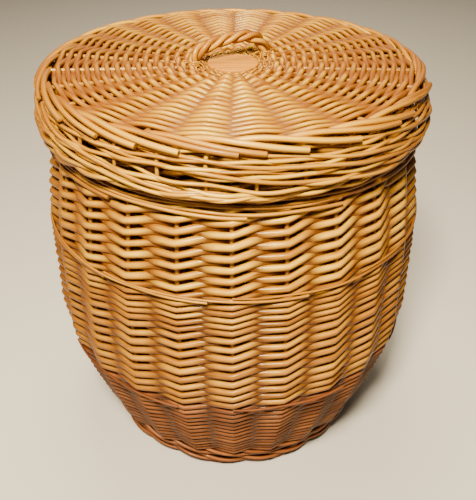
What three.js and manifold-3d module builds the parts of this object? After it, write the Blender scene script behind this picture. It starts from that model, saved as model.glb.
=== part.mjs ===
// Round woven laundry hamper with a lift-off lid. Millimetres, +Z up, front towards -Y.
// The basket is woven round 26 upright stakes; the lid is woven round 24 spokes and
// carries a raised rim, a deep skirt that drops over the basket and a twisted rope handle.
import * as THREE from "three";
import { mergeVertices } from "three/addons/utils/BufferGeometryUtils.js";
import Module from "manifold-3d";

const wasm = await Module();
wasm.setup();

// ---- Driving dimensions ----
const FIT_GAP = 0.3;          // air left between neighbouring pieces
const STAKE_COUNT = 25;
const STAKE_RADIUS = 2.9;
const ROD_SIDES = 4;          // faces of every thin upright or spoke
const WALL = 16;              // basket wall, stake and the rods on both sides of it

const BASE_RADIUS = 187;
const BELLY_RADIUS = 246;
const BELLY_HEIGHT = 222;
const NECK_RADIUS = 209;
const BODY_HEIGHT = 506;

const FOOT_TOP = 25;          // plaited foot border
const FOOT_INNER_RADIUS = 166;
const FINE_TOP = 182;         // close weave of thin rods
const MIDDLE_TOP = 346;       // paired rods
const MARKER_TOP = 356;       // thin rods that mark the change of rod
const UPPER_TOP = 442;        // paired rods, the thickest
const TOP_WALE_TOP = 453;
const NECK_TOP = 492;         // hidden by the skirt of the lid

const BASE_BOTTOM = 5;
const BASE_TOP = 15;
const BOARD_RADIUS = 31;      // wooden centre disc, the same in base and lid

const LID_BOTTOM = BODY_HEIGHT + FIT_GAP;
const LID_CENTRE_TOP = 517;
const LID_EDGE_TOP = 520;
const LID_BOARD_TOP = 519;
const WALE_RADIUS = 50;       // rods paired round the centre disc
const WEAVE_RADIUS = 198;
const SPOKE_COUNT = 24;
const SPOKE_RADIUS = 3.2;
const SPOKE_HEIGHT = 511.5;
const SPOKE_REACH = 212;
const HUB_RADIUS = 30;
const HUB_TOP = 513;

const RIM_RADIUS = 220;
const RIM_HEIGHT = 517;
const RIM_HALF = 5.2;
const RIM_FACES = 6;
const POST_COUNT = 30;
const POST_RADIUS = 2.2;
const SKIRT_BOTTOM = 466;
const SKIRT_BELLY = 473;      // lowest, widest rods of the skirt
const SKIRT_TOP = 507;
const SKIRT_THICKNESS = 7;
const SKIRT_TOP_RADIUS = 224;
const SKIRT_BELLY_RADIUS = 232;

const HANDLE_TURN = THREE.MathUtils.degToRad(25);
const HANDLE_MIDDLE = [-3, 14];
const HANDLE_HALF_SPAN = 46.5;
const HANDLE_BOTTOM = LID_CENTRE_TOP + 2;
const HANDLE_ARCH = [         // along the handle and up, for the middle of the rope
  [-HANDLE_HALF_SPAN, HANDLE_BOTTOM], [-46.3, 523.5], [-35, 532], [-12, 538], [8, 540.5],
  [27, 538.5], [39.5, 531.5], [46.3, 523.5], [HANDLE_HALF_SPAN, HANDLE_BOTTOM],
];
const STRAND_COUNT = 3;
const STRAND_RADIUS = 2.5;
const STRAND_OFFSET = 3.5;
const STRAND_TURNS = 2.2;
const STRAND_STEPS = 32;
const LASHING_INNER = 8.2;
const LASHING_OUTER = 10.6;
const LASHING_HEIGHT = 3;

// ---- Materials ----
const willow = new THREE.MeshStandardMaterial({ color: 0xb98545, roughness: 0.45, metalness: 0 });
const darkWillow = new THREE.MeshStandardMaterial({ color: 0x8a5a2c, roughness: 0.5, metalness: 0 });
const stakeWillow = new THREE.MeshStandardMaterial({ color: 0xa87338, roughness: 0.5, metalness: 0 });
const discWood = new THREE.MeshStandardMaterial({ color: 0xd2a56b, roughness: 0.5, metalness: 0 });

// ---- Solids ----
function toSolid(geometry) {
  const bare = geometry.clone();
  bare.deleteAttribute("normal");
  bare.deleteAttribute("uv");
  const welded = mergeVertices(bare, 1e-4);
  const kept = [];
  const index = welded.index.array;
  for (let i = 0; i < index.length; i += 3) {
    const [a, b, c] = [index[i], index[i + 1], index[i + 2]];
    if (a !== b && b !== c && c !== a) {
      kept.push(a, b, c);
    }
  }
  const vertProperties = new Float32Array(welded.attributes.position.array);
  const triVerts = new Uint32Array(kept);
  return new wasm.Manifold(new wasm.Mesh({ numProp: 3, vertProperties, triVerts }));
}

function meshOf(solid, name, material) {
  const { vertProperties, triVerts } = solid.getMesh();
  const geometry = new THREE.BufferGeometry();
  geometry.setAttribute("position", new THREE.BufferAttribute(vertProperties, 3));
  geometry.setIndex(new THREE.BufferAttribute(triVerts, 1));
  geometry.computeVertexNormals();
  const mesh = new THREE.Mesh(geometry, material);
  mesh.name = name;
  return mesh;
}

// A solid of revolution about +Z; the outline runs up its outer side.
function turned(outline, sides) {
  const points = outline.map(([radius, height]) => new THREE.Vector2(radius, height));
  points.push(points[0].clone());
  return toSolid(new THREE.LatheGeometry(points, sides).rotateX(Math.PI / 2));
}

function disc(radius, bottom, top, sides) {
  const geometry = new THREE.CylinderGeometry(radius, radius, top - bottom, sides);
  return toSolid(geometry.rotateX(Math.PI / 2).translate(0, 0, (bottom + top) / 2));
}

function polygon(radius, sides) {
  const shape = new THREE.Shape();
  for (let i = 0; i < sides; i += 1) {
    const angle = (i * 2 * Math.PI) / sides;
    const [x, y] = [radius * Math.cos(angle), radius * Math.sin(angle)];
    if (i === 0) {
      shape.moveTo(x, y);
    } else {
      shape.lineTo(x, y);
    }
  }
  return shape;
}

function rod(points, radius, sides, steps) {
  const extrudePath = new THREE.CatmullRomCurve3(points);
  return toSolid(new THREE.ExtrudeGeometry(polygon(radius, sides), { steps, extrudePath }));
}

// A point at a bearing measured from the front of the hamper.
function around(bearing, radius, height) {
  return new THREE.Vector3(radius * Math.sin(bearing), -radius * Math.cos(bearing), height);
}

function join(solids) {
  return solids.reduce((whole, solid) => whole.add(solid));
}

// ---- Basket ----
const sideCurve = new THREE.CatmullRomCurve3([
  new THREE.Vector3(BASE_RADIUS, 0, 0),
  new THREE.Vector3(219, 0, 88),
  new THREE.Vector3(243, 0, FINE_TOP),
  new THREE.Vector3(BELLY_RADIUS, 0, BELLY_HEIGHT),
  new THREE.Vector3(239, 0, 350),
  new THREE.Vector3(224, 0, UPPER_TOP),
  new THREE.Vector3(NECK_RADIUS, 0, BODY_HEIGHT),
]);
const sidePoints = sideCurve.getPoints(240);

function sideRadius(height) {
  const next = Math.max(1, sidePoints.findIndex((point) => point.z >= height));
  const [low, high] = [sidePoints[next - 1], sidePoints[next]];
  return THREE.MathUtils.mapLinear(height, low.z, high.z, low.x, high.x);
}

function bandOutline(bottom, top, steps) {
  const heights = Array.from({ length: steps + 1 }, (_, i) => bottom + ((top - bottom) * i) / steps);
  const outer = heights.map((height) => [sideRadius(height), height]);
  const inner = heights.map((height) => [sideRadius(height) - WALL, height]).reverse();
  return [...outer, ...inner];
}

const STAKE_BOTTOM = 4;
const STAKE_TOP = 500;
const STAKE_STEPS = 5;

function stakeSolid(bearing, radius, slack) {
  const bottom = STAKE_BOTTOM - slack;
  const top = STAKE_TOP + slack;
  const points = [];
  for (let i = 0; i <= STAKE_STEPS; i += 1) {
    const height = bottom + ((top - bottom) * i) / STAKE_STEPS;
    points.push(around(bearing, sideRadius(height) - WALL / 2, height));
  }
  return rod(points, radius, ROD_SIDES, STAKE_STEPS);
}

function stakeBearings() {
  return Array.from({ length: STAKE_COUNT }, (_, i) => (i * 2 * Math.PI) / STAKE_COUNT);
}

function basketBands() {
  const channels = join(stakeBearings().map((b) => stakeSolid(b, STAKE_RADIUS + 1.5 * FIT_GAP, FIT_GAP)));
  const foot = [
    [BASE_RADIUS, 0],
    [sideRadius(FOOT_TOP), FOOT_TOP],
    [sideRadius(FOOT_TOP) - WALL, FOOT_TOP],
    [FOOT_INNER_RADIUS, BASE_TOP],
    [FOOT_INNER_RADIUS, 0],
  ];
  const bands = [
    ["foot_border", foot, willow],
    ["fine_wale_band", bandOutline(FOOT_TOP + FIT_GAP, FINE_TOP, 2), darkWillow],
    ["middle_weave_band", bandOutline(FINE_TOP + FIT_GAP, MIDDLE_TOP, 2), willow],
    ["marker_wale", bandOutline(MIDDLE_TOP + FIT_GAP, MARKER_TOP, 1), willow],
    ["upper_weave_band", bandOutline(MARKER_TOP + FIT_GAP, UPPER_TOP, 2), willow],
    ["top_wale", bandOutline(UPPER_TOP + FIT_GAP, TOP_WALE_TOP, 1), willow],
    ["neck_weave", bandOutline(TOP_WALE_TOP + FIT_GAP, NECK_TOP, 1), willow],
    ["top_border", bandOutline(NECK_TOP + FIT_GAP, BODY_HEIGHT, 1), willow],
  ];
  return bands.map(([name, outline, material]) =>
    meshOf(turned(outline, STAKE_COUNT).subtract(channels), name, material));
}

function basketStakes() {
  return stakeBearings().map((bearing, i) => {
    const name = `stake_${String(i + 1).padStart(2, "0")}`;
    return meshOf(stakeSolid(bearing, STAKE_RADIUS, 0), name, stakeWillow);
  });
}

function basketBase() {
  const ring = [
    [FOOT_INNER_RADIUS - 1, BASE_BOTTOM],
    [FOOT_INNER_RADIUS - 1, BASE_TOP],
    [BOARD_RADIUS + FIT_GAP, BASE_TOP],
    [BOARD_RADIUS + FIT_GAP, BASE_BOTTOM],
  ];
  return [
    meshOf(disc(BOARD_RADIUS, BASE_BOTTOM, BASE_TOP, STAKE_COUNT), "base_board", discWood),
    meshOf(turned(ring, STAKE_COUNT), "base_weave", willow),
  ];
}

// ---- Lid ----
function spokeStar(slack) {
  const start = HUB_RADIUS - 2;
  const end = SPOKE_REACH + slack;
  const arms = Array.from({ length: SPOKE_COUNT }, (_, i) => {
    const bearing = ((i + 0.5) * 2 * Math.PI) / SPOKE_COUNT;
    const arm = new THREE.CylinderGeometry(SPOKE_RADIUS + slack, SPOKE_RADIUS + slack, end - start, ROD_SIDES);
    arm.translate(0, -(start + end) / 2, 0);
    return toSolid(arm.rotateZ(bearing).translate(0, 0, SPOKE_HEIGHT));
  });
  const hub = disc(HUB_RADIUS + slack, LID_BOTTOM + 1 - slack, HUB_TOP + slack, SPOKE_COUNT);
  return join([hub, ...arms]);
}

function lidTop() {
  const slot = spokeStar(1.3 * FIT_GAP);
  const board = disc(BOARD_RADIUS, HUB_TOP + 2 * FIT_GAP, LID_BOARD_TOP, SPOKE_COUNT);
  const wale = [
    [WALE_RADIUS - FIT_GAP, LID_BOTTOM],
    [WALE_RADIUS - FIT_GAP, LID_CENTRE_TOP],
    [BOARD_RADIUS + FIT_GAP, LID_CENTRE_TOP],
    [BOARD_RADIUS + FIT_GAP, LID_BOTTOM],
  ];
  const weave = [
    [WEAVE_RADIUS, LID_BOTTOM],
    [WEAVE_RADIUS, LID_EDGE_TOP],
    [WALE_RADIUS, LID_CENTRE_TOP],
    [WALE_RADIUS, LID_BOTTOM],
  ];
  return [
    meshOf(board.subtract(slot), "lid_board", discWood),
    meshOf(spokeStar(0), "lid_spokes", stakeWillow),
    meshOf(turned(wale, SPOKE_COUNT).subtract(slot), "lid_centre_wale", willow),
    meshOf(turned(weave, SPOKE_COUNT).subtract(slot), "lid_weave", willow),
  ];
}

function rimPosts(slack) {
  return Array.from({ length: POST_COUNT }, (_, i) => {
    const bearing = ((i + 0.5) * 2 * Math.PI) / POST_COUNT;
    const foot = around(bearing, SKIRT_BELLY_RADIUS - SKIRT_THICKNESS / 2 - 1, SKIRT_BELLY - slack);
    const head = around(bearing, RIM_RADIUS - 1, RIM_HEIGHT);
    return rod([foot, head], POST_RADIUS + slack, ROD_SIDES, 1);
  });
}

function lidRim() {
  const ring = [];
  for (let i = 0; i < RIM_FACES; i += 1) {
    const angle = ((i - 1) * 2 * Math.PI) / RIM_FACES;
    ring.push([RIM_RADIUS + RIM_HALF * Math.cos(angle), RIM_HEIGHT + RIM_HALF * Math.sin(angle)]);
  }
  const skirt = [
    [SKIRT_BELLY_RADIUS - 2, SKIRT_BOTTOM],
    [SKIRT_BELLY_RADIUS, SKIRT_BELLY],
    [SKIRT_TOP_RADIUS, SKIRT_TOP],
    [SKIRT_TOP_RADIUS - SKIRT_THICKNESS, SKIRT_TOP],
    [SKIRT_BELLY_RADIUS - SKIRT_THICKNESS - 1, SKIRT_BOTTOM],
  ];
  return [
    meshOf(join([turned(ring, POST_COUNT), ...rimPosts(0)]), "rim_border", willow),
    meshOf(turned(skirt, POST_COUNT).subtract(join(rimPosts(1.5 * FIT_GAP))), "skirt_border", willow),
  ];
}

// ---- Handle ----
const handleFrame = new THREE.Matrix4()
  .makeTranslation(...HANDLE_MIDDLE, 0)
  .multiply(new THREE.Matrix4().makeRotationZ(HANDLE_TURN));
const handleCurve = new THREE.CatmullRomCurve3(
  HANDLE_ARCH.map(([along, height]) => new THREE.Vector3(along, 0, height)));

function handleStrand(phase) {
  const count = STRAND_STEPS;
  const across = new THREE.Vector3(0, 1, 0);
  const points = [];
  for (let i = 0; i <= count; i += 1) {
    const centre = handleCurve.getPointAt(i / count);
    const tangent = handleCurve.getTangentAt(i / count);
    const normal = new THREE.Vector3().crossVectors(tangent, across).normalize();
    const angle = phase + (i / count) * STRAND_TURNS * 2 * Math.PI;
    centre.addScaledVector(normal, STRAND_OFFSET * Math.cos(angle));
    centre.addScaledVector(across, STRAND_OFFSET * Math.sin(angle));
    points.push(centre.applyMatrix4(handleFrame));
  }
  return rod(points, STRAND_RADIUS, ROD_SIDES, count);
}

function handleLashing(side) {
  const outline = [
    [LASHING_OUTER, HANDLE_BOTTOM - 1],
    [LASHING_OUTER, HANDLE_BOTTOM + LASHING_HEIGHT],
    [LASHING_INNER, HANDLE_BOTTOM + LASHING_HEIGHT],
    [LASHING_INNER, HANDLE_BOTTOM - 1],
  ];
  const centre = new THREE.Vector3(side * HANDLE_HALF_SPAN, 0, 0).applyMatrix4(handleFrame);
  return turned(outline, 12).translate([centre.x, centre.y, 0]);
}

function lidHandle() {
  return [
    ...Array.from({ length: STRAND_COUNT }, (_, i) =>
      meshOf(handleStrand((i * 2 * Math.PI) / STRAND_COUNT), `handle_strand_${i + 1}`, willow)),
    meshOf(handleLashing(-1), "handle_lashing_left", willow),
    meshOf(handleLashing(1), "handle_lashing_right", willow),
  ];
}

// ---- Assembly ----
const basket = new THREE.Group();
basket.name = "basket";
basket.add(...basketBase(), ...basketStakes(), ...basketBands());

const lid = new THREE.Group();
lid.name = "lid";
lid.add(...lidTop(), ...lidRim(), ...lidHandle());

const group = new THREE.Group();
group.name = "laundry_hamper";
group.add(basket, lid);

export default group;
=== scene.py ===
"""Round laundry hamper woven from varnished willow rods, with a woven lid that lifts off.

Laid out as an add-on and run as a script: every operator makes one piece, or a group of like
pieces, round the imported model. Lengths are metres, +Z is up and the front faces -Y.
"""

import math

import bmesh
import bpy
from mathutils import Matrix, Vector


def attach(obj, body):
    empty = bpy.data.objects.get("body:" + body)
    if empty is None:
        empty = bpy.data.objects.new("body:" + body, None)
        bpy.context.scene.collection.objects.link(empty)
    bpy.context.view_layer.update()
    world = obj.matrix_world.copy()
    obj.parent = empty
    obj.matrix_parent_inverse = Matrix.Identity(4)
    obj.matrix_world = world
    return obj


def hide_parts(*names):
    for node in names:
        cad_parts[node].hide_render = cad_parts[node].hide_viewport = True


bl_info = {
    "name": "Woven laundry hamper",
    "version": (1, 0, 0),
    "blender": (4, 5, 0),
    "location": "View3D > Sidebar > Hamper",
    "description": "Builds a round willow hamper with a lift-off lid",
    "category": "Add Mesh",
}

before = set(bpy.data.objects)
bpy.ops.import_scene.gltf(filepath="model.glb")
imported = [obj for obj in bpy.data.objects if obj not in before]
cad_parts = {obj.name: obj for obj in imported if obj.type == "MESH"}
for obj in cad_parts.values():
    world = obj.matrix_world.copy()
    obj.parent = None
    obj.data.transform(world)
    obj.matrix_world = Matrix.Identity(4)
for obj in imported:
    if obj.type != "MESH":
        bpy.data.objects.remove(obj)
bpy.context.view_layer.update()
MM = 0.001
TAU = 2 * math.pi

# The outer surface of the basket at its stakes: (height, radius) in millimetres.
SIDE = ((0, 186), (88, 218), (182, 242.5), (222, 245.5), (350, 239), (442, 224), (506, 209))
STAKES = 25  # odd, so that one pair of rods runs on from lap to lap
SPOKES = 24
POSTS = 30
STRANDS = 3
HANDLE_TURN = math.radians(25)
HANDLE_HALF_SPAN = 46.5  # mm from the middle of the handle to each foot
TAILS = 9  # rod ends spread round each foot of the handle
BOARD_RADIUS = 30.5  # mm, the wooden discs of the base and the lid
RIM_ROLL = 222  # radius in mm on which the paths of the rim and skirt are unrolled
STAKE_ROLL = 240  # the same for the stakes
STAKE_INSET = 8.6  # mm from the basket's outer surface to the middle of a stake

ROD_FACES = 8
SPAN_STEPS = 10  # points of a rod between one upright and the next
SIDE_STEPS = 12  # points that carry the basket's outline into its tree
ROD_SPANS = 6  # uprights that one rod passes before the next rod takes over
WAVE_SHARPNESS = 0.985  # near 1, a rod bends sharply at each upright and runs straight between
FULL_SWING = 0.004  # metres of swing at which a rod counts as wholly before or behind an upright
WALL_STAND_OFF = 0.85  # how far rods stand off the stakes, where 1 only just touches them
DISC_STAND_OFF = 0.74  # the same for the spokes of a disc
PAIR_CROSSING = 0.52  # how far paired rods cross up and down, in rod diameters
WALL_SAG = 1.9 * MM  # how far inside the circle the middle of a straight span lies
DISC_SAG = 0.0086  # the same on a disc, as a share of the row's radius
DISC_TILT = 0.56  # rods of a disc lie flat, so only their tops count as facing up
BORDER_TILT = 0.1
ROD_SIZE_SEED = 7
BORDER_SIZE_SEED = 91
BORDER_TINT_SEED = 17

FLOOR_HALF = 4  # metres
LIT_POINT = Vector((0, 0, 0.3))  # where every lamp points
ROOM_GLOW = 0.1
LENS = 43.9  # mm, on a sensor 36 mm wide
CAMERA_PLACE = (0.006, -0.715, 0.759)
CAMERA_PITCH = math.radians(54.1)


# ---- Helpers ----
def linear(code):
    """An sRGB hex colour as the linear colour that shaders use."""
    values = [int(code[i:i + 2], 16) / 255 for i in (1, 3, 5)]
    return (*[v / 12.92 if v <= 0.04045 else ((v + 0.055) / 1.055) ** 2.4 for v in values], 1)


def add(tree, kind, links=None, **settings):
    """Adds a node with its settings. Each input takes a value, a socket or a node's first output."""
    node = tree.nodes.new(kind)
    for name, value in settings.items():
        setattr(node, name, value)
    for name, value in (links or {}).items():
        if isinstance(value, bpy.types.Node):
            value = value.outputs[0]
        if isinstance(value, bpy.types.NodeSocket):
            tree.links.new(value, node.inputs[name])
        else:
            node.inputs[name].default_value = value
    return node


def reckon(tree, values, steps):
    """Adds the maths of a formula: each step is (result, operation, operands by name or number)."""
    for result, operation, *operands in steps:
        links = {i: values.get(x, x) for i, x in enumerate(operands)}
        values[result] = add(tree, "ShaderNodeMath", links, operation=operation)
    return values


def new_tree(name, inputs):
    """A geometry node group with the named inputs, and a dictionary of their sockets."""
    tree = bpy.data.node_groups.new(name, "GeometryNodeTree")
    tree.interface.new_socket("Geometry", in_out="OUTPUT", socket_type="NodeSocketGeometry")
    for label, kind in inputs.items():
        tree.interface.new_socket(label, in_out="INPUT", socket_type="NodeSocket" + kind)
    given = tree.nodes.new("NodeGroupInput")
    return tree, {label: given.outputs[label] for label in inputs}


def smooth_path(points, per_span=8):
    """Points on a smooth line through the given ones, whatever number of values each has."""
    ends = [points[0], *points, points[-1]]
    line = []
    for p0, p1, p2, p3 in zip(ends, ends[1:], ends[2:], ends[3:]):
        for step in range(per_span):
            t = step / per_span
            line.append([
                b + t * ((c - a) / 2 + t * (a - 2.5 * b + 2 * c - d / 2 + t * (1.5 * (b - c) + (d - a) / 2)))
                for a, b, c, d in zip(p0, p1, p2, p3)
            ])
    return [*line, list(points[-1])]


SIDE_LINE = smooth_path(SIDE)


def side_radius(height):
    """Radius of the basket's outer surface at a height, both in millimetres."""
    for (low, near), (high, far) in zip(SIDE_LINE, SIDE_LINE[1:]):
        if height <= high:
            return near + (far - near) * (height - low) / (high - low)
    return SIDE_LINE[-1][1]


def path_object(*lines):
    """A curve object with a spline through each line of (x, y, z, thickness) points, for a tree to read."""
    curve = bpy.data.curves.new("path", "CURVE")
    curve.dimensions = "3D"
    for line in lines:
        spline = curve.splines.new("POLY")
        spline.points.add(len(line) - 1)
        for point, (x, y, z, thickness) in zip(spline.points, line):
            point.co = (x, y, z, 1)
            point.radius = thickness
    obj = bpy.data.objects.new("path", curve)
    bpy.context.scene.collection.objects.link(obj)
    return obj


def grow(name, tree, values):
    """Runs a tree on an empty object and keeps the result as a plain mesh."""
    start = bpy.data.meshes.new("start")
    obj = bpy.data.objects.new(name, start)
    bpy.context.scene.collection.objects.link(obj)
    modifier = obj.modifiers.new("Grow", "NODES")
    modifier.node_group = tree
    for item in tree.interface.items_tree:
        if item.item_type == "SOCKET" and item.in_out == "INPUT":
            modifier[item.identifier] = values[item.name]
    graph = bpy.context.evaluated_depsgraph_get()
    mesh = bpy.data.meshes.new_from_object(obj.evaluated_get(graph))
    obj.modifiers.clear()
    obj.data = mesh
    mesh.name = name
    bpy.data.meshes.remove(start)
    if not mesh.polygons:
        raise RuntimeError(f"{name} came out empty")
    return obj


def settle(piece, body, slot, *nodes):
    """Ties a finished piece to its body and hides the CAD nodes that it stands for. The slot is not used."""
    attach(piece, body)
    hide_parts(*nodes)
    return piece


# ---- Trees ----
def swept_rods(tree, curves, given, tilt=0.0):
    """Sweeps a round section along the curves and stores what the materials need to know of the rods.

    Tilt moves the line below which a rod counts as facing down, for the painted shade on its lower side. Rods
    that lie flat need more of it.
    """
    around = add(tree, "GeometryNodeSplineParameter")
    section = add(tree, "GeometryNodeCurvePrimitiveCircle", {"Resolution": ROD_FACES, "Radius": 1.0})
    section = add(tree, "GeometryNodeStoreNamedAttribute",
                  {"Geometry": section, "Name": "around", "Value": around.outputs["Factor"]})
    thickness = add(tree, "GeometryNodeInputNamedAttribute", {"Name": "thickness"})
    mesh = add(tree, "GeometryNodeCurveToMesh",
               {"Curve": curves, "Profile Curve": section, "Scale": thickness, "Fill Caps": True})
    values = {name: add(tree, "GeometryNodeInputNamedAttribute", {"Name": name})
              for name in ("around", "along", "thickness")}
    reckon(tree, values, [
        ("angle", "MULTIPLY", "around", TAU),
        ("cos", "COSINE", "angle"),
        ("sin", "SINE", "angle"),
        ("x", "MULTIPLY", "cos", "thickness"),
        ("y", "MULTIPLY", "sin", "thickness"),
    ])
    grain = add(tree, "ShaderNodeCombineXYZ", {0: values["along"], 1: values["x"], 2: values["y"]})
    mesh = add(tree, "GeometryNodeStoreNamedAttribute",
               {"Geometry": mesh, "Name": "grain", "Value": grain}, data_type="FLOAT_VECTOR")
    # Which way each face points, kept for the painted shade on the lower side of a rod.
    facing = add(tree, "ShaderNodeSeparateXYZ", {0: add(tree, "GeometryNodeInputNormal")})
    upward = add(tree, "ShaderNodeMath", {0: facing.outputs[2], 1: tilt}, operation="SUBTRACT")
    mesh = add(tree, "GeometryNodeStoreNamedAttribute",
               {"Geometry": mesh, "Name": "upward", "Value": upward})
    smooth = add(tree, "GeometryNodeSetShadeSmooth", {"Geometry": mesh})
    real = add(tree, "GeometryNodeRealizeInstances", {"Geometry": smooth})
    coated = add(tree, "GeometryNodeSetMaterial", {"Geometry": real, "Material": given["Material"]})
    add(tree, "NodeGroupOutput", {"Geometry": coated})
    return tree


WEAVE_INPUTS = {
    "Rows": "Int", "Laps": "Int", "Uprights": "Int", "Steps": "Int", "Start": "Float", "Pitch": "Float",
    "Ease": "Float", "Offset": "Float", "Depth": "Float", "Rod radius": "Float", "Swing": "Float",
    "Cross": "Float", "Sag": "Float", "Scatter": "Float", "Seed": "Int", "Material": "Material",
}


def woven_tree(name, flat):
    """Rings of rods that pass outside one upright and inside the next, up a wall or across a disc."""
    tree, given = new_tree(name, WEAVE_INPUTS)
    count = reckon(tree, dict(given), [
        ("lap_points", "MULTIPLY", "Uprights", "Steps"),
        ("points", "MULTIPLY", "lap_points", "Laps"),
    ])
    ring = add(tree, "GeometryNodeCurvePrimitiveCircle", {"Resolution": count["points"], "Radius": 1.0})
    rings = add(tree, "GeometryNodeDuplicateElements", {"Geometry": ring, "Amount": given["Rows"]},
                domain="SPLINE")
    turn = add(tree, "GeometryNodeSplineParameter")
    curves = rings.outputs["Geometry"]
    for label, value in (("copy", rings.outputs["Duplicate Index"]), ("turn", turn.outputs["Factor"])):
        curves = add(tree, "GeometryNodeStoreNamedAttribute",
                     {"Geometry": curves, "Name": label, "Value": value})
    values = dict(given)
    for label in ("copy", "turn"):
        values[label] = add(tree, "GeometryNodeInputNamedAttribute", {"Name": label})
    reckon(tree, values, [
        ("lap", "MULTIPLY", "turn", "Laps"),
        ("upright", "MULTIPLY", "lap", "Uprights"),
        # Each ring starts and ends behind an upright, one upright further on than the row below.
        ("place", "ADD", "upright", 1.0),
        ("phase", "MULTIPLY", "place", math.pi),
        ("cos", "COSINE", "phase"),
        ("cos_cut", "MULTIPLY", "cos", WAVE_SHARPNESS),
        ("cos_angle", "ARCSINE", "cos_cut"),
        ("out", "DIVIDE", "cos_angle", math.asin(WAVE_SHARPNESS)),
        ("sin", "SINE", "phase"),
        ("sin_cut", "MULTIPLY", "sin", WAVE_SHARPNESS),
        ("sin_angle", "ARCSINE", "sin_cut"),
        ("up", "DIVIDE", "sin_angle", math.asin(WAVE_SHARPNESS)),
        # A rod lasts six uprights, tapers to its tip and is followed by the next one's butt.
        ("run_length", "DIVIDE", "place", ROD_SPANS),
        ("run_shift", "MULTIPLY", "copy", 2 / ROD_SPANS),
        ("run", "ADD", "run_length", "run_shift"),
        ("run_from_inside", "ADD", "run", 1 / ROD_SPANS),
        ("length", "FLOOR", "run_from_inside"),
        ("part", "FRACT", "run_from_inside"),
        ("taper", "MULTIPLY_ADD", "part", -0.16, 1.08),
        ("length_id", "MULTIPLY_ADD", "copy", 64.0, "length"),
        ("along", "MULTIPLY_ADD", "lap", 1.45, "copy"),
        # Between uprights a rod is straight, so its middle lies inside the circle through its bends.
        ("span", "FRACT", "upright"),
        ("span_left", "SUBTRACT", 1.0, "span"),
        ("bow_part", "MULTIPLY", "span", "span_left"),
        ("bow_whole", "MULTIPLY", "bow_part", 4.0),
        ("bow", "MULTIPLY", "bow_whole", "Sag"),
        # How far a rod lies before or behind its upright, stored as out for the painted shade in the willow
        # material.
        ("swing_part", "MULTIPLY", "Swing", 1 / FULL_SWING),
        ("shown", "MULTIPLY", "out", "swing_part"),
        ("ease_part", "MULTIPLY", "copy", "Ease"),
        ("ease_left", "SUBTRACT", 1.0, "ease_part"),
        ("row_run", "MULTIPLY", "copy", "ease_left"),
        ("row_place", "MULTIPLY_ADD", "row_run", "Pitch", "Start"),
        ("row_size", "MULTIPLY_ADD", "ease_part", -2.0, 1.0),
        ("swung", "MULTIPLY", "out", "Swing"),
        ("crossed", "MULTIPLY", "up", "Cross"),
        ("noise_height", "MULTIPLY_ADD", "copy", 1.7, "Seed"),
    ])
    tint = add(tree, "FunctionNodeRandomValue", {7: values["length_id"], 8: given["Seed"]},
               data_type="FLOAT")
    thick = add(tree, "FunctionNodeRandomValue",
                {2: 0.92, 3: 1.08, 7: values["length_id"], 8: ROD_SIZE_SEED}, data_type="FLOAT")
    position = add(tree, "GeometryNodeInputPosition")
    spread = add(tree, "ShaderNodeVectorMath", {0: position, 1: (2.5, 2.5, 2.5)}, operation="MULTIPLY")
    lift = add(tree, "ShaderNodeCombineXYZ", {2: values["noise_height"]})
    spot = add(tree, "ShaderNodeVectorMath", {0: spread, 1: lift}, operation="ADD")
    noise = add(tree, "ShaderNodeTexNoise", {"Vector": spot, "Scale": 1.0, "Detail": 1.0})
    values["noise"] = noise.outputs[0]
    values["thick"] = thick.outputs[1]
    reckon(tree, values, [
        ("stray", "SUBTRACT", "noise", 0.5),
        ("strayed", "MULTIPLY", "stray", "Scatter"),
        # Rods bulge a little where they lie inside the uprights, pressed by the rows round them.
        ("bulge", "MULTIPLY_ADD", "out", -0.2, 1.18),
        ("tapered", "MULTIPLY", "taper", "thick"),
        ("thinned", "MULTIPLY", "tapered", "bulge"),
        ("row_thick", "MULTIPLY", "thinned", "row_size"),
        ("thickness", "MULTIPLY", "row_thick", "Rod radius"),
        ("row_from", "ADD", "copy", "Offset"),
        ("row_turn", "DIVIDE", "row_from", "Uprights"),
        ("whole_turn", "ADD", "lap", "row_turn"),
        ("bearing", "MULTIPLY", "whole_turn", TAU),
    ])
    if flat:
        # The disc is dished: its edge stands 4 mm above its middle at a radius of 0.2 m.
        reckon(tree, values, [
            ("radius_free", "ADD", "row_place", "strayed"),
            ("bow_here", "MULTIPLY", "bow", "row_place"),
            ("radius", "SUBTRACT", "radius_free", "bow_here"),
            ("dish", "POWER", "row_place", 2.0),
            ("dish_height", "MULTIPLY_ADD", "dish", 0.1, "Depth"),
            ("height", "ADD", "dish_height", "swung"),
        ])
    else:
        reckon(tree, values, [
            ("height_free", "ADD", "row_place", "strayed"),
            ("height", "ADD", "height_free", "crossed"),
            ("height_part", "DIVIDE", "height", SIDE[-1][0] * MM),
        ])
        side = add(tree, "ShaderNodeFloatCurve", {"Value": values["height_part"]})
        curve = side.mapping.curves[0]
        for i in range(SIDE_STEPS + 1):
            height = SIDE[-1][0] * i / SIDE_STEPS
            place = (i / SIDE_STEPS, side_radius(height) * MM)
            if i in (0, SIDE_STEPS):
                curve.points[0 if i == 0 else -1].location = place
            else:
                curve.points.new(*place)
        side.mapping.update()
        values["side"] = side
        reckon(tree, values, [
            ("set_in", "SUBTRACT", "side", "Depth"),
            ("bowed", "SUBTRACT", "set_in", "bow"),
            ("wandering", "MULTIPLY_ADD", "strayed", 0.6, "bowed"),
            ("radius", "ADD", "wandering", "swung"),
        ])
    values["back"] = add(tree, "ShaderNodeMath", {0: values["radius"], 1: -1.0}, operation="MULTIPLY")
    arm = add(tree, "ShaderNodeCombineXYZ", {1: values["back"], 2: values["height"]})
    place = add(tree, "ShaderNodeVectorRotate", {"Vector": arm, "Angle": values["bearing"]},
                rotation_type="Z_AXIS")
    for label, value in (("out", values["shown"]), ("along", values["along"]),
                         ("thickness", values["thickness"]), ("tint", tint.outputs[1])):
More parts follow.
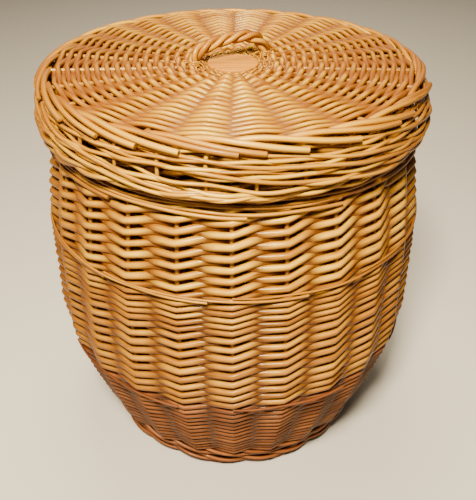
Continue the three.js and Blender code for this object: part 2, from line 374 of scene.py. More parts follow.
        curves = add(tree, "GeometryNodeStoreNamedAttribute",
                     {"Geometry": curves, "Name": label, "Value": value})
    moved = add(tree, "GeometryNodeSetPosition", {"Geometry": curves, "Position": place})
    return swept_rods(tree, moved, given, DISC_TILT if flat else 0.0)


BORDER_INPUTS = {
    "Path": "Object", "Count": "Int", "Steps": "Int", "Roll radius": "Float", "Offset": "Float",
    "Stretch": "Float", "Scatter": "Float", "Wave": "Float", "Seed": "Int", "Material": "Material",
}


def border_tree():
    """Copies of one rod laid round a ring. Its path is drawn unrolled: x along, y radius, z height."""
    tree, given = new_tree("Border rods", BORDER_INPUTS)
    path = add(tree, "GeometryNodeObjectInfo", {"Object": given["Path"]})
    fine = add(tree, "GeometryNodeResampleCurve",
               {"Curve": path.outputs["Geometry"], "Count": given["Steps"]})
    rods = add(tree, "GeometryNodeDuplicateElements", {"Geometry": fine, "Amount": given["Count"]},
               domain="SPLINE")
    curves = add(tree, "GeometryNodeStoreNamedAttribute",
                 {"Geometry": rods, "Name": "copy", "Value": rods.outputs["Duplicate Index"]})
    values = dict(given)
    values["copy"] = add(tree, "GeometryNodeInputNamedAttribute", {"Name": "copy"})
    lot = add(tree, "FunctionNodeRandomValue", {2: -0.5, 3: 0.5, 7: values["copy"], 8: given["Seed"]},
              data_type="FLOAT")
    size = add(tree, "FunctionNodeRandomValue", {2: 0.9, 3: 1.1, 7: values["copy"], 8: BORDER_SIZE_SEED},
               data_type="FLOAT")
    tint = add(tree, "FunctionNodeRandomValue", {7: values["copy"], 8: BORDER_TINT_SEED},
               data_type="FLOAT")
    values["lot"], values["size"] = lot.outputs[1], size.outputs[1]
    place = add(tree, "GeometryNodeInputPosition")
    split = add(tree, "ShaderNodeSeparateXYZ", {0: place})
    values.update({axis: split.outputs[i] for i, axis in enumerate("xyz")})
    values["thin"] = add(tree, "GeometryNodeInputRadius")
    reckon(tree, values, [
        ("stretched", "MULTIPLY_ADD", "lot", "Stretch", 1.0),
        ("run", "MULTIPLY", "x", "stretched"),
        ("run_angle", "DIVIDE", "run", "Roll radius"),
        ("spacing", "DIVIDE", TAU, "Count"),
        ("copy_place", "ADD", "copy", "Offset"),
        ("copy_angle", "MULTIPLY", "copy_place", "spacing"),
        ("bearing", "ADD", "run_angle", "copy_angle"),
        ("noise_place", "MULTIPLY_ADD", "run", 12.0, "copy"),
        ("along", "MULTIPLY_ADD", "copy", 1.3, "run"),
        ("rise", "ADD", "along", "z"),
        ("thickness", "MULTIPLY", "thin", "size"),
        # A waving rod passes outside one post and inside the next, and crosses its neighbours between.
        ("post", "DIVIDE", "run_angle", "spacing"),
        ("phase", "MULTIPLY", "post", math.pi),
        ("cos", "COSINE", "phase"),
        ("sin", "SINE", "phase"),
        ("waved_out", "MULTIPLY_ADD", "cos", "Wave", "y"),
        ("waved_up", "MULTIPLY_ADD", "sin", "Wave", "z"),
    ])
    wander = []
    for seed in (0.0, 40.0):
        spot = add(tree, "ShaderNodeCombineXYZ", {0: values["noise_place"], 1: values["copy"], 2: seed})
        noise = add(tree, "ShaderNodeTexNoise", {"Vector": spot, "Scale": 1.0, "Detail": 0.0})
        wander.append(noise.outputs[0])
    values["noise_out"], values["noise_up"] = wander
    reckon(tree, values, [
        ("out_part", "SUBTRACT", "noise_out", 0.5),
        ("up_part", "SUBTRACT", "noise_up", 0.5),
        ("radius", "MULTIPLY_ADD", "out_part", "Scatter", "waved_out"),
        ("height", "MULTIPLY_ADD", "up_part", "Scatter", "waved_up"),
        ("back", "MULTIPLY", "radius", -1.0),
    ])
    arm = add(tree, "ShaderNodeCombineXYZ", {1: values["back"], 2: values["height"]})
    wrapped = add(tree, "ShaderNodeVectorRotate", {"Vector": arm, "Angle": values["bearing"]},
                  rotation_type="Z_AXIS")
    for label, value in (("out", 1.0), ("along", values["rise"]), ("thickness", values["thickness"]),
                         ("tint", tint.outputs[1])):
        curves = add(tree, "GeometryNodeStoreNamedAttribute",
                     {"Geometry": curves, "Name": label, "Value": value})
    moved = add(tree, "GeometryNodeSetPosition", {"Geometry": curves, "Position": wrapped})
    return swept_rods(tree, moved, given, BORDER_TILT)


ROPE_INPUTS = {
    "Path": "Object", "Steps": "Int", "Turns": "Float", "Phase": "Float", "Offset": "Float",
    "Tint": "Float", "Material": "Material",
}


def rope_tree():
    """One strand wound round a path."""
    tree, given = new_tree("Rope strand", ROPE_INPUTS)
    path = add(tree, "GeometryNodeObjectInfo", {"Object": given["Path"]})
    fine = add(tree, "GeometryNodeResampleCurve",
               {"Curve": path.outputs["Geometry"], "Count": given["Steps"]})
    run = add(tree, "GeometryNodeSplineParameter")
    values = dict(given)
    values["factor"], values["along"] = run.outputs["Factor"], run.outputs["Length"]
    values["thin"] = add(tree, "GeometryNodeInputRadius")
    reckon(tree, values, [
        ("turned", "MULTIPLY_ADD", "factor", "Turns", "Phase"),
        ("angle", "MULTIPLY", "turned", TAU),
        ("cos", "COSINE", "angle"),
        ("sin", "SINE", "angle"),
        ("x", "MULTIPLY", "cos", "Offset"),
        ("y", "MULTIPLY", "sin", "Offset"),
    ])
    normal = add(tree, "GeometryNodeInputNormal")
    tangent = add(tree, "GeometryNodeInputTangent")
    side = add(tree, "ShaderNodeVectorMath", {0: normal, 1: tangent}, operation="CROSS_PRODUCT")
    first = add(tree, "ShaderNodeVectorMath", {0: normal, "Scale": values["x"]}, operation="SCALE")
    second = add(tree, "ShaderNodeVectorMath", {0: side, "Scale": values["y"]}, operation="SCALE")
    shift = add(tree, "ShaderNodeVectorMath", {0: first, 1: second}, operation="ADD")
    curves = fine
    for label, value in (("out", 1.0), ("along", values["along"]), ("thickness", values["thin"]),
                         ("tint", given["Tint"])):
        curves = add(tree, "GeometryNodeStoreNamedAttribute",
                     {"Geometry": curves, "Name": label, "Value": value})
    moved = add(tree, "GeometryNodeSetPosition", {"Geometry": curves, "Offset": shift})
    return swept_rods(tree, moved, given)


# ---- Materials ----
def willow(name, pale, mid, deep, painted_shade, gloss, coat):
    """Peeled willow rods under clear varnish. The colour changes from rod to rod, with fine lengthways
    streaks and a few dark knots. Painted shade darkens the lower side of each rod, its outline and the
    parts that go behind an upright. The main tone is a linear colour, and the others are hex."""
    material = bpy.data.materials.new(name)
    material.use_nodes = True
    tree = material.node_tree
    shader = tree.nodes["Principled BSDF"]
    grain = add(tree, "ShaderNodeAttribute", attribute_name="grain")
    tint = add(tree, "ShaderNodeAttribute", attribute_name="tint")
    out = add(tree, "ShaderNodeAttribute", attribute_name="out")
    # Fibre streaks about 0.6 mm wide and 30 mm long.
    fibres = add(tree, "ShaderNodeMapping", {"Vector": grain.outputs["Vector"], "Scale": (33, 1600, 1600)})
    streak = add(tree, "ShaderNodeTexNoise", {"Vector": fibres, "Scale": 1.0, "Detail": 3.0})
    # Slow change of colour over 80 mm of rod.
    slow = add(tree, "ShaderNodeMapping", {"Vector": grain.outputs["Vector"], "Scale": (12, 160, 160)})
    cloud = add(tree, "ShaderNodeTexNoise", {"Vector": slow, "Scale": 1.0, "Detail": 2.0})
    # Knots: small dark eyes where side shoots were cut, a few on each rod.
    eyes = add(tree, "ShaderNodeMapping", {"Vector": grain.outputs["Vector"], "Scale": (22, 190, 190)})
    knot = add(tree, "ShaderNodeTexVoronoi", {"Vector": eyes, "Scale": 1.0})
    knots = add(tree, "ShaderNodeMapRange", {"Value": knot.outputs["Distance"], "From Min": 0.03,
                                             "From Max": 0.14, "To Min": 0.75, "To Max": 0.0})
    values = {"tint": tint.outputs["Fac"], "cloud": cloud.outputs[0], "streak": streak.outputs[0],
              "out": out.outputs["Fac"]}
    reckon(tree, values, [
        ("cloud_part", "MULTIPLY_ADD", "cloud", 0.8, -0.4),
        ("streak_part", "MULTIPLY_ADD", "streak", 0.7, -0.35),
        ("rod_part", "MULTIPLY_ADD", "tint", 0.5, 0.27),
        ("mixed", "ADD", "rod_part", "cloud_part"),
        ("tone", "ADD", "mixed", "streak_part"),
    ])
    ramp = add(tree, "ShaderNodeValToRGB", {"Fac": values["tone"]})
    ramp.color_ramp.elements[0].color = linear(deep)
    ramp.color_ramp.elements[1].color = linear(pale)
    ramp.color_ramp.elements.new(0.5).color = mid
    # Painted shade where a rod goes behind an upright.
    behind_shade_mask = add(tree, "ShaderNodeMapRange", {"Value": values["out"], "From Min": -0.15, "From Max": 0.85,
                                              "To Min": 0.95, "To Max": 0.0})
    behind_shade_mix = add(tree, "ShaderNodeMix", {0: behind_shade_mask, 6: ramp, 7: linear(painted_shade)}, data_type="RGBA")
    # Painted shade on the lower side of each rod.
    upward = add(tree, "ShaderNodeAttribute", attribute_name="upward")
    below = add(tree, "ShaderNodeMapRange", {"Value": upward.outputs["Fac"], "From Min": -0.75,
                                             "From Max": 0.3, "To Min": 0.9, "To Max": 0.0})
    shaded = add(tree, "ShaderNodeMix", {0: below, 6: behind_shade_mix.outputs[2], 7: linear(painted_shade)},
                 data_type="RGBA")
    # Painted shade towards the outline of each rod as it is seen.
    facing = add(tree, "ShaderNodeLayerWeight", {"Blend": 0.5})
    edge = add(tree, "ShaderNodeMapRange", {"Value": facing.outputs["Facing"], "From Min": 0.06,
                                            "From Max": 0.6, "To Min": 0.0, "To Max": 0.85})
    edged = add(tree, "ShaderNodeMix", {0: edge, 6: shaded.outputs[2], 7: linear(deep)}, data_type="RGBA")
    spotted = add(tree, "ShaderNodeMix", {0: knots, 6: edged.outputs[2], 7: linear("#3A1D0C")},
                  data_type="RGBA")
    tree.links.new(spotted.outputs[2], shader.inputs["Base Color"])
    rough = add(tree, "ShaderNodeMapRange", {"Value": streak, "From Min": 0.3, "From Max": 0.7,
                                             "To Min": gloss, "To Max": gloss + 0.14})
    tree.links.new(rough.outputs[0], shader.inputs["Roughness"])
    relief = add(tree, "ShaderNodeMath", {0: streak, 1: cloud}, operation="ADD")
    bump = add(tree, "ShaderNodeBump", {"Strength": 0.5, "Distance": 0.00035, "Height": relief})
    tree.links.new(bump.outputs[0], shader.inputs["Normal"])
    shader.inputs["IOR"].default_value = 1.4
    shader.inputs["Specular Tint"].default_value = linear("#FFF0C8")
    shader.inputs["Coat Weight"].default_value = coat
    shader.inputs["Coat Roughness"].default_value = 0.12
    shader.inputs["Coat Tint"].default_value = linear("#FFE9C0")
    shader.inputs["Coat IOR"].default_value = 1.5
    return material


def sawn_wood(name, pale, dark):
    """Pale sawn board under satin varnish: straight grain lines about 4 mm apart, with fine pores."""
    material = bpy.data.materials.new(name)
    material.use_nodes = True
    tree = material.node_tree
    shader = tree.nodes["Principled BSDF"]
    where = add(tree, "ShaderNodeTexCoord")
    lines = add(tree, "ShaderNodeMapping", {"Vector": where.outputs["Object"], "Scale": (14, 260, 60)})
    rings = add(tree, "ShaderNodeTexNoise", {"Vector": lines, "Scale": 1.0, "Detail": 3.0, "Distortion": 0.6})
    pores = add(tree, "ShaderNodeMapping", {"Vector": where.outputs["Object"], "Scale": (180, 2400, 600)})
    pore = add(tree, "ShaderNodeTexNoise", {"Vector": pores, "Scale": 1.0, "Detail": 2.0})
    both = reckon(tree, {"a": rings.outputs[0], "b": pore.outputs[0]}, [
        ("fine", "MULTIPLY_ADD", "b", 0.3, -0.15),
        ("tone", "ADD", "a", "fine"),
    ])
    ramp = add(tree, "ShaderNodeValToRGB", {"Fac": both["tone"]})
    ramp.color_ramp.elements[0].position = 0.3
    ramp.color_ramp.elements[1].position = 0.62
    ramp.color_ramp.elements[0].color = linear(dark)
    ramp.color_ramp.elements[1].color = pale
    tree.links.new(ramp.outputs[0], shader.inputs["Base Color"])
    bump = add(tree, "ShaderNodeBump", {"Strength": 0.35, "Distance": 0.0003, "Height": both["tone"]})
    tree.links.new(bump.outputs[0], shader.inputs["Normal"])
    shader.inputs["Roughness"].default_value = 0.5
    shader.inputs["Specular IOR Level"].default_value = 0.2
    return material


def pale_floor(name, colour):
    """Plain matt floor in one pale colour, so that nothing on it draws the eye."""
    material = bpy.data.materials.new(name)
    material.use_nodes = True
    shader = material.node_tree.nodes["Principled BSDF"]
    shader.inputs["Base Color"].default_value = colour
    shader.inputs["Roughness"].default_value = 0.6
    return material


# ---- Settings ----
def colour_choice(name, description, code):
    """A colour that a user may change, starting from an sRGB hex colour."""
    return bpy.props.FloatVectorProperty(
        name=name, description=description, default=linear(code), size=4, min=0, max=1, subtype="COLOR")


class HamperSizes(bpy.types.PropertyGroup):
    """Sizes that a maker would change."""

    thick_rod: bpy.props.FloatProperty(
        name="Upper rods", description="Diameter of the rods of the upper band", default=0.0078,
        unit="LENGTH")
    middle_rod: bpy.props.FloatProperty(
        name="Middle rods", description="Diameter of the rods of the middle band", default=0.0076,
        unit="LENGTH")
    fine_rod: bpy.props.FloatProperty(
        name="Fine rods", description="Diameter of the rods of the lower band", default=0.0062, unit="LENGTH")
    stake: bpy.props.FloatProperty(
        name="Stakes", description="Diameter of the upright stakes", default=0.0064, unit="LENGTH")
    lid_rod: bpy.props.FloatProperty(
        name="Lid rods", description="Diameter of the widest rods woven across the lid", default=0.0073,
        unit="LENGTH")
    rim_rod: bpy.props.FloatProperty(
        name="Rim rods", description="Diameter of the rods of the raised rim", default=0.0064, unit="LENGTH")
    skirt_rod: bpy.props.FloatProperty(
        name="Skirt rods", description="Diameter of the long rods of the skirt", default=0.0043,
        unit="LENGTH")
    rope: bpy.props.FloatProperty(
        name="Rope strand", description="Diameter of one strand of the handle", default=0.0073, unit="LENGTH")


class HamperColours(bpy.types.PropertyGroup):
    """Main colour of each finish. The lighter and darker shades round it are set with its material."""

    buff: colour_choice("Buff willow", "Main colour of the lid, the skirt and the upper rods", "#E0A620")
    middle: colour_choice("Honey willow", "Main colour of the middle rods and the handle", "#BC7E18")
    brown: colour_choice("Brown willow", "Main colour of the lower rods and the foot", "#8C4E24")
    stake: colour_choice("Stakes", "Main colour of the stakes and spokes", "#B48024")
    board: colour_choice("Wooden discs", "Pale grain of the discs of the lid and base", "#CC8812")
    floor: colour_choice("Floor", "Colour of the floor", "#DCD6CA")


def material_slot(name, use):
    """A place for a material that the operators share."""
    return bpy.props.PointerProperty(name=name, description=use, type=bpy.types.Material)


def tree_slot(name, use):
    """A place for a node tree that the operators share."""
    return bpy.props.PointerProperty(name=name, description=use, type=bpy.types.NodeTree)


class HamperMakings(bpy.types.PropertyGroup):
    """Materials and trees, made once and shared by the operators."""

    buff: material_slot("Buff willow", "Material of the lid, the skirt and the upper rods")
    middle: material_slot("Honey willow", "Material of the middle rods, thin lines and handle")
    brown: material_slot("Brown willow", "Material of the lower rods and the foot")
    stake: material_slot("Stake willow", "Material of the stakes and spokes")
    board: material_slot("Sawn board", "Material of the wooden discs")
    wall: tree_slot("Woven wall", "Makes a band of the wall")
    disc: tree_slot("Woven disc", "Makes the rows of the lid and base")
    border: tree_slot("Border rods", "Makes the borders, stakes, spokes and thin lines")
    rope: tree_slot("Rope strand", "Makes the strands and wraps of the handle")


def makings():
    """The shared materials and trees."""
    return bpy.context.scene.hamper_makings


def sizes():
    """The sizes that a maker would change."""
    return bpy.context.scene.hamper_sizes


def colours():
    """The colours that a maker would change."""
    return bpy.context.scene.hamper_colours


# ---- Pieces ----
def woven_wall(name, rows, start, pitch, diameter, material, seed, scatter=0.0012):
    """A band of paired rods round the stakes. Start is the middle of its lowest row, in mm."""
    swing = 0.5 * (diameter + sizes().stake) * WALL_STAND_OFF
    return grow(name, makings().wall, {
        "Rows": rows, "Laps": 2, "Uprights": STAKES, "Steps": SPAN_STEPS, "Start": start * MM,
        "Pitch": pitch * MM, "Ease": 0.0, "Offset": 0.0, "Depth": swing + diameter / 2,
        "Rod radius": diameter / 2, "Swing": swing, "Cross": diameter * PAIR_CROSSING, "Sag": WALL_SAG,
        "Scatter": scatter, "Seed": seed, "Material": material,
    })


def woven_disc(name, rows, start, pitch, height, diameter, spoke, material, seed, ease=0.0, offset=0.0):
    """Rods woven over one spoke and under the next across a flat disc. Start is a radius, in mm."""
    return grow(name, makings().disc, {
        "Rows": rows, "Laps": 1, "Uprights": SPOKES, "Steps": SPAN_STEPS, "Start": start * MM,
        "Pitch": pitch * MM, "Ease": ease, "Offset": offset, "Depth": height * MM,
        "Rod radius": diameter / 2, "Swing": 0.5 * (diameter + spoke) * DISC_STAND_OFF, "Cross": 0.0,
        "Sag": DISC_SAG, "Scatter": 0.0006,
        "Seed": seed, "Material": material,
    })


def border_rods(name, count, roll_radius, points, material, seed, steps=48, offset=0.0, stretch=0.0,
                scatter=0.0010, wave=0.0):
    """Rods laid round a ring. Points are (spacings along, radius, height, thickness), lengths in mm."""
    spacing = TAU * roll_radius / count
    line = [(x * spacing * MM, r * MM, z * MM, t * MM / 2) for x, r, z, t in smooth_path(points)]
    path = path_object(line)
    piece = grow(name, makings().border, {
        "Path": path, "Count": count, "Steps": steps, "Roll radius": roll_radius * MM, "Offset": offset,
        "Stretch": stretch, "Scatter": scatter, "Wave": wave, "Seed": seed, "Material": material,
    })
    bpy.data.objects.remove(path)
    return piece


def turned_board(name, radius, bottom, top, material):
    """A wooden disc with a softened edge, lengths in mm."""
    soft = 1.2
    outline = [(0, bottom), (radius - soft, bottom), (radius, bottom + soft), (radius, top - soft),
               (radius - 0.35 * soft, top - 0.35 * soft), (radius - soft, top), (0, top)]
    shape = bmesh.new()
    sides = 72
    rings = []
    for r, z in outline:
        if r == 0:
            rings.append([shape.verts.new((0, 0, z * MM))] * sides)
            continue
        bearings = [a * TAU / sides for a in range(sides)]
        rings.append([shape.verts.new((r * MM * math.sin(b), -r * MM * math.cos(b), z * MM))
                      for b in bearings])
    for low, high in zip(rings, rings[1:]):
        for i in range(sides):
            j = (i + 1) % sides
            corners = list(dict.fromkeys((low[i], low[j], high[j], high[i])))
            shape.faces.new(corners)
    bmesh.ops.recalc_face_normals(shape, faces=shape.faces)
    mesh = bpy.data.meshes.new(name)
    shape.to_mesh(mesh)
    shape.free()
    mesh.materials.append(material)
    piece = bpy.data.objects.new(name, mesh)
    bpy.context.scene.collection.objects.link(piece)
    return piece


class HAMPER_OT_base(bpy.types.Operator):
    """Makes the woven base and its wooden disc"""

    bl_idname = "hamper.base"
    bl_label = "Base"

    def execute(self, context):
        m = makings()
        board = turned_board("base_disc", BOARD_RADIUS, 5, 14, m.board)
        settle(board, "basket", "disc_wood", "base_board")
        weave = woven_disc("base_rows", 24, 35.5, 5.7, 10, 5.9 * MM, 4.5 * MM, m.brown, 5)
        settle(weave, "basket", "buff_willow", "base_weave")
        sticks = border_rods("base_sticks", SPOKES, 100, [
            (0, 27, 10, 4.6), (0, 100, 10.6, 4.6), (0, 174, 12.5, 4.2),
        ], m.stake, 6, steps=12)
        settle(sticks, "basket", "stake_willow", "base_weave")
        return {"FINISHED"}


class HAMPER_OT_stakes(bpy.types.Operator):
    """Makes the upright stakes of the basket"""

    bl_idname = "hamper.stakes"
    bl_label = "Stakes"

    def execute(self, context):
        m = makings()
        stake = sizes().stake / MM
        for i in range(STAKES):
            # A stake thins as it rises.
            line = [(i / STAKES, side_radius(z) - STAKE_INSET, z, stake * (1.05 - 0.2 * z / 500))
                    for z in range(8, 500, 40)]
            rod = border_rods(f"upright_{i + 1:02d}", 1, STAKE_ROLL, line, m.stake, i, steps=40,
                              scatter=0.0008)
            settle(rod, "basket", "stake_willow", f"stake_{i + 1:02d}")
        return {"FINISHED"}


class HAMPER_OT_walls(bpy.types.Operator):
    """Makes the woven bands of the basket's wall, from the foot up"""

    bl_idname = "hamper.walls"
    bl_label = "Woven bands"

    def execute(self, context):
        m, s = makings(), sizes()
        bands = (
            ("fine_rows", 13, 47, 10.5, s.fine_rod, m.brown, "dark_willow", "fine_wale_band", 11),
            ("middle_rows", 9, 187, 13.1, s.middle_rod, m.middle, "buff_willow", "middle_weave_band", 12),
            ("tight_rows", 6, 303.5, 8.7, 5.7 * MM, m.middle, "buff_willow", "middle_weave_band", 13),
            ("upper_rows", 8, 356.7, 12.8, s.thick_rod, m.buff, "buff_willow", "upper_weave_band", 15),
            ("neck_rows", 4, 457.5, 11, 6.4 * MM, m.middle, "buff_willow", "neck_weave", 17),
        )
        for name, rows, start, pitch, rod, material, slot, node, seed in bands:
            settle(woven_wall(name, rows, start, pitch, rod, material, seed), "basket", slot, node)
        return {"FINISHED"}


class HAMPER_OT_thin_lines(bpy.types.Operator):
    """Makes the thin rods that lie along the changes from one band to the next"""

    bl_idname = "hamper.thin_lines"
    bl_label = "Thin lines"

    def execute(self, context):
        m = makings()
        lines = (
            ("low_line", 6, 0.55, 181, 175, 3.8, m.brown, "fine_wale_band", 51),
            ("marker_line", 10, 1.75, 351.5, 345, 3.4, m.middle, "marker_wale", 52),
            ("top_line", 12, 3.6, 457, 440.5, 4.2, m.middle, "top_wale", 53),
        )
        for name, count, reach, top, bottom, rod, material, node, seed in lines:
            path = [(reach * i / 4, side_radius(top + (bottom - top) * i / 4) - 0.3 * rod,
                     top + (bottom - top) * i / 4, rod * (0.7 + 0.08 * i)) for i in range(5)]
            piece = border_rods(name, count, side_radius(top), path, material, seed, steps=90, stretch=0.8,
                                scatter=0.0045)
            settle(piece, "basket", "buff_willow", node)
        return {"FINISHED"}


class HAMPER_OT_borders(bpy.types.Operator):
    """Makes the basket's foot border and top border"""

    bl_idname = "hamper.borders"
    bl_label = "Basket borders"

    def execute(self, context):
        m = makings()
        foot = border_rods("foot_rods", STAKES, 190, [
            (0, 194, 46, 4), (0.4, 197, 40, 5), (0.9, 196, 33, 5.2), (1.5, 190.5, 27, 5.2),
            (2.1, 189.5, 21.5, 5.2), (2.6, 192.5, 17, 5.2), (3.1, 191, 12.5, 5.2),
            (3.7, 184.5, 9.5, 5.2), (4.2, 184, 5.5, 5.2),
            (4.7, 186, 2.9, 5.2), (5.2, 182, 2.8, 5), (5.7, 174, 4, 4.6), (6.2, 168, 7, 4),
        ], m.brown, 21, steps=60, stretch=0.16, scatter=0.0034)
        settle(foot, "basket", "buff_willow", "foot_border")
        top = border_rods("top_rods", STAKES, 202, [
            (0, 201, 484, 5), (0.1, 199, 494, 5.4), (0.6, 197.5, 500, 6), (1.5, 200.5, 499.5, 6),
            (2.5, 205.8, 495, 6), (3.5, 206.5, 489, 5.6), (4.2, 204.5, 486, 5),
        ], m.middle, 22, steps=40, stretch=0.05)
        settle(top, "basket", "buff_willow", "top_border")
        return {"FINISHED"}


class HAMPER_OT_lid_top(bpy.types.Operator):
    """Makes the lid's disc, spokes, centre rods and woven top"""

    bl_idname = "hamper.lid_top"
    bl_label = "Lid top"

    def execute(self, context):
        m, s = makings(), sizes()
        board = turned_board("lid_disc", BOARD_RADIUS, 508, 516.5, m.board)
        settle(board, "lid", "disc_wood", "lid_board")
        spokes = border_rods("lid_spoke_rods", SPOKES, 100, [
            (0, 28, 511.5, 5), (0, 100, 512.4, 5.2), (0, 198, 515.2, 5), (0, 212, 516, 4.6),
        ], m.stake, 31, steps=24, offset=0.5, scatter=0.0010)
        settle(spokes, "lid", "stake_willow", "lid_spokes")
        centre = woven_disc("lid_centre_rods", 5, 33.4, 3.5, 512, 3.4 * MM, 4 * MM, m.buff, 32, offset=0.5)
        settle(centre, "lid", "buff_willow", "lid_centre_wale")
        top = woven_disc("lid_rows", 27, 52, 6.9, 511.8, s.lid_rod, 4.4 * MM, m.buff, 33, 0.0052, 0.5)
        settle(top, "lid", "buff_willow", "lid_weave")
        return {"FINISHED"}


class HAMPER_OT_lid_rim(bpy.types.Operator):
    """Makes the lid's raised rim, with the posts that its rods rise from, and its skirt"""

    bl_idname = "hamper.lid_rim"
    bl_label = "Lid rim and skirt"

    def execute(self, context):
        m, s = makings(), sizes()
        rim, skirt = s.rim_rod / MM, s.skirt_rod / MM
        rods = border_rods("rim_rods", POSTS, RIM_ROLL, [
            (0, 225.5, 472, 4.2), (0, 224, 488, 4.4), (0, 221.5, 502, 4.8), (0.08, 217.5, 509, 5.2),
            (0.35, 213.2, 513.2, 0.9 * rim), (0.8, 212.8, 517.4, rim), (1.3, 215.4, 518.8, rim),
            (1.9, 219.4, 517, rim), (2.6, 223.4, 513.2, rim), (3.3, 226.6, 509.2, 0.95 * rim),
        ], m.buff, 41, steps=60, offset=0.5, stretch=0.36, scatter=0.0022)
        settle(rods, "lid", "buff_willow", "rim_border")
        sweep = border_rods("skirt_rods", POSTS, RIM_ROLL, [
            (0, 219.6, 508.5, 0.8 * skirt), (1.1, 221.6, 504.5, skirt), (2.2, 223.6, 500.5, skirt),
            (3.3, 225.4, 496.4, skirt), (4.4, 226.8, 492.2, skirt), (5.5, 227.8, 487.6, skirt),
            (6.6, 228.8, 482, 1.05 * skirt), (7.7, 229.2, 476, 1.1 * skirt),
            (8.8, 228.8, 470.4, 1.15 * skirt),
            (9.9, 227.6, 466.4, 1.15 * skirt), (11, 225.8, 464.4, skirt), (12.1, 223.6, 465, 0.85 * skirt),
        ], m.buff, 42, steps=140, stretch=0.24, scatter=0.0075, wave=0.0021)
        settle(sweep, "lid", "buff_willow", "skirt_border")
        # A few rods run down more steeply over the others.
        crossing = border_rods("skirt_crossing_rods", 13, RIM_ROLL, [
            (0, 219.8, 508, 0.8 * skirt), (0.7, 225.2, 502, skirt), (1.5, 228.8, 492.5, 1.1 * skirt),
            (2.2, 231.4, 481, 1.1 * skirt), (2.9, 232, 471.5, skirt), (3.6, 229.5, 465, skirt),
            (4.3, 225, 463.4, 0.8 * skirt),
        ], m.buff, 43, steps=60, stretch=0.5, scatter=0.008)
        settle(crossing, "lid", "buff_willow", "skirt_border")
        return {"FINISHED"}


class HAMPER_OT_handle(bpy.types.Operator):
    """Makes the twisted rope handle and the wraps at its feet"""

    bl_idname = "hamper.handle"
    bl_label = "Handle"

    def execute(self, context):
        m, s = makings(), sizes()
        across = Vector((math.cos(HANDLE_TURN), math.sin(HANDLE_TURN), 0))
        middle = Vector((-3, 14, 0))
        arch = [(-HANDLE_HALF_SPAN, 508), (-HANDLE_HALF_SPAN, 517), (-44.6, 525), (-35, 532.6),
                (-12, 538.4), (8, 540.5), (26, 538.8),
                (38.5, 532), (45, 521.5), (HANDLE_HALF_SPAN, 508)]
        line = [(*(middle + along * across).xy * MM, z * MM, s.rope / 2) for along, z in smooth_path(arch)]
        path = path_object(line)
        for i in range(STRANDS):
            strand = grow(f"rope_strand_{i + 1}", m.rope, {
                "Path": path, "Steps": 110, "Turns": 2.3, "Phase": i / STRANDS, "Offset": 0.54 * s.rope,
                "Tint": 0.35 + 0.25 * i, "Material": m.middle,
            })
            settle(strand, "lid", "buff_willow", f"handle_strand_{i + 1}")
        bpy.data.objects.remove(path)
        for side, label in ((-1, "left"), (1, "right")):
            foot = middle + side * HANDLE_HALF_SPAN * across
            coil = [(*foot.xy * MM, (515 + 0.8 * i) * MM, 1.3 * MM) for i in range(8)]
            tails = []
            for i in range(TAILS):
                out = Vector((math.cos(i * TAU / TAILS), math.sin(i * TAU / TAILS), 0))
                reach = 13 + 3 * (i * 5 % 3)
                tail = [(foot + out * 6, 519.5), (foot + out * 9, 518.6), (foot + out * 0.8 * reach, 517.6),
                        (foot + out * reach, 512)]
                tails.append([(*spot.xy * MM, z * MM, 1.0 * MM) for spot, z in tail])
            for kind, turns, offset, lines in (("wrap", 2.6, 7.4, [coil]), ("tails", 0.0, 0.0, tails)):
                path = path_object(*lines)
                piece = grow(f"handle_{kind}_{label}", m.rope, {
                    "Path": path, "Steps": 48, "Turns": turns, "Phase": 0.0, "Offset": offset * MM,
                    "Tint": 0.6, "Material": m.middle,
                })
                settle(piece, "lid", "buff_willow", f"handle_lashing_{label}")
                bpy.data.objects.remove(path)
        return {"FINISHED"}


class HAMPER_OT_stage(bpy.types.Operator):
    """Makes the floor, the light and the camera"""

    bl_idname = "hamper.stage"
    bl_label = "Stage"

    def execute(self, context):
        scene = context.scene
        floor_mesh = bpy.data.meshes.new("floor")
        corners = [(x * FLOOR_HALF, y * FLOOR_HALF, 0) for x, y in ((-1, -1), (1, -1), (1, 1), (-1, 1))]
        floor_mesh.from_pydata(corners, [], [(0, 1, 2, 3)])
        floor_mesh.materials.append(pale_floor("matt pale floor", tuple(colours().floor)))
        floor = bpy.data.objects.new("floor", floor_mesh)
        scene.collection.objects.link(floor)
        lamps = (
            ("ceiling", (-0.1, 0.5, 2.3), 0.8, 36, "#FFF0D2"),
            ("behind", (0.1, 2.1, 1.9), 2.2, 16, "#FFEFD2"),
            ("front", (-0.16, -0.88, 1.52), 0.26, 70, "#FFF0D2"),
        )
        for name, place, size, power, colour in lamps:
            light = bpy.data.lights.new(name, "AREA")
            light.size = size
            light.energy = power
            light.color = linear(colour)[:3]
            lamp = bpy.data.objects.new(name, light)
            lamp.location = place
            lamp.rotation_euler = (LIT_POINT - Vector(place)).to_track_quat("-Z", "Y").to_euler()
            scene.collection.objects.link(lamp)
        world = bpy.data.worlds.new("soft room")
        world.use_nodes = True
        world.node_tree.nodes["Background"].inputs["Color"].default_value = linear("#F4E6D0")
        world.node_tree.nodes["Background"].inputs["Strength"].default_value = ROOM_GLOW
        scene.world = world
        lens = bpy.data.cameras.new("view")
        lens.lens = LENS
        lens.sensor_width = 36
        camera = bpy.data.objects.new("view", lens)
        camera.location = CAMERA_PLACE
        camera.rotation_euler = (CAMERA_PITCH, 0, 0)
        scene.collection.objects.link(camera)
        scene.camera = camera
        return {"FINISHED"}


OPERATORS = (
    HAMPER_OT_base, HAMPER_OT_stakes, HAMPER_OT_walls, HAMPER_OT_thin_lines, HAMPER_OT_borders,
    HAMPER_OT_lid_top, HAMPER_OT_lid_rim, HAMPER_OT_handle, HAMPER_OT_stage,
)


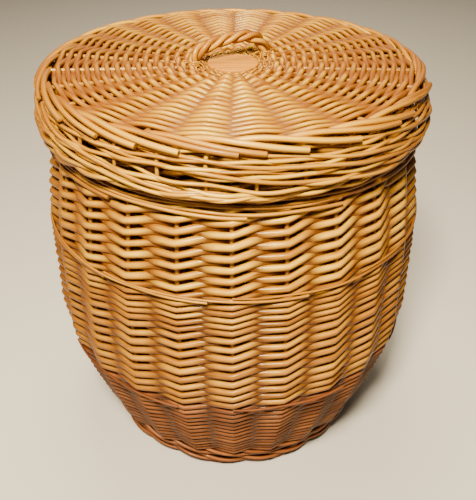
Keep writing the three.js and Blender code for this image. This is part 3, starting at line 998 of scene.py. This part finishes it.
class HAMPER_PT_panel(bpy.types.Panel):
    """Lists the pieces of the hamper"""

    bl_idname = "HAMPER_PT_panel"
    bl_label = "Woven laundry hamper"
    bl_space_type = "VIEW_3D"
    bl_region_type = "UI"
    bl_category = "Hamper"

    def draw(self, context):
        for name in HamperSizes.__annotations__:
            self.layout.prop(context.scene.hamper_sizes, name)
        for name in HamperColours.__annotations__:
            self.layout.prop(context.scene.hamper_colours, name)
        for operator in OPERATORS:
            self.layout.operator(operator.bl_idname)


CLASSES = (HamperSizes, HamperColours, HamperMakings, *OPERATORS, HAMPER_PT_panel)


def register():
    """Adds the classes and the scene's settings to Blender."""
    for entry in CLASSES:
        bpy.utils.register_class(entry)
    bpy.types.Scene.hamper_sizes = bpy.props.PointerProperty(type=HamperSizes)
    bpy.types.Scene.hamper_colours = bpy.props.PointerProperty(type=HamperColours)
    bpy.types.Scene.hamper_makings = bpy.props.PointerProperty(type=HamperMakings)


def unregister():
    """Takes the settings and the classes away again."""
    del bpy.types.Scene.hamper_makings
    del bpy.types.Scene.hamper_colours
    del bpy.types.Scene.hamper_sizes
    for entry in reversed(CLASSES):
        bpy.utils.unregister_class(entry)


def prepare():
    """Makes the materials and trees that the operators share."""
    m, c = makings(), colours()
    # Willow boiled in its bark and peeled: bright gold, with small highlights under the varnish.
    m.buff = willow("buff willow, varnished", "#FBD236", tuple(c.buff), "#844A0A", "#5A2604", 0.3, 0.14)
    # The same willow, a shade deeper, so that the wall reads darker than the lid.
    m.middle = willow("honey willow, varnished", "#E8AE2C", tuple(c.middle), "#6C360A", "#4A1E04",
                      0.3, 0.14)
    # Thin brown rods: reddish and duller, so the lower band and the foot read as a darker base.
    m.brown = willow("brown willow, varnished", "#BC763C", tuple(c.brown), "#4C220C", "#341204",
                     0.42, 0.12)
    # Older, darker rods with more varnish: they shine a little where the weave leaves them bare.
    m.stake = willow("willow stakes, varnished", "#DCA842", tuple(c.stake), "#6E420E", "#461E04",
                     0.36, 0.3)
    # Sawn wood with a satin finish: flat and paler than the rods round it.
    m.board = sawn_wood("sawn beech, satin varnish", tuple(c.board), "#AC6C08")
    m.wall = woven_tree("Woven wall", False)
    m.disc = woven_tree("Woven disc", True)
    m.border = border_tree()
    m.rope = rope_tree()


def main():
    """Makes every piece in order."""
    register()
    prepare()
    for operator in OPERATORS:
        group, name = operator.bl_idname.split(".")
        getattr(getattr(bpy.ops, group), name)()


if __name__ == "__main__":
    main()
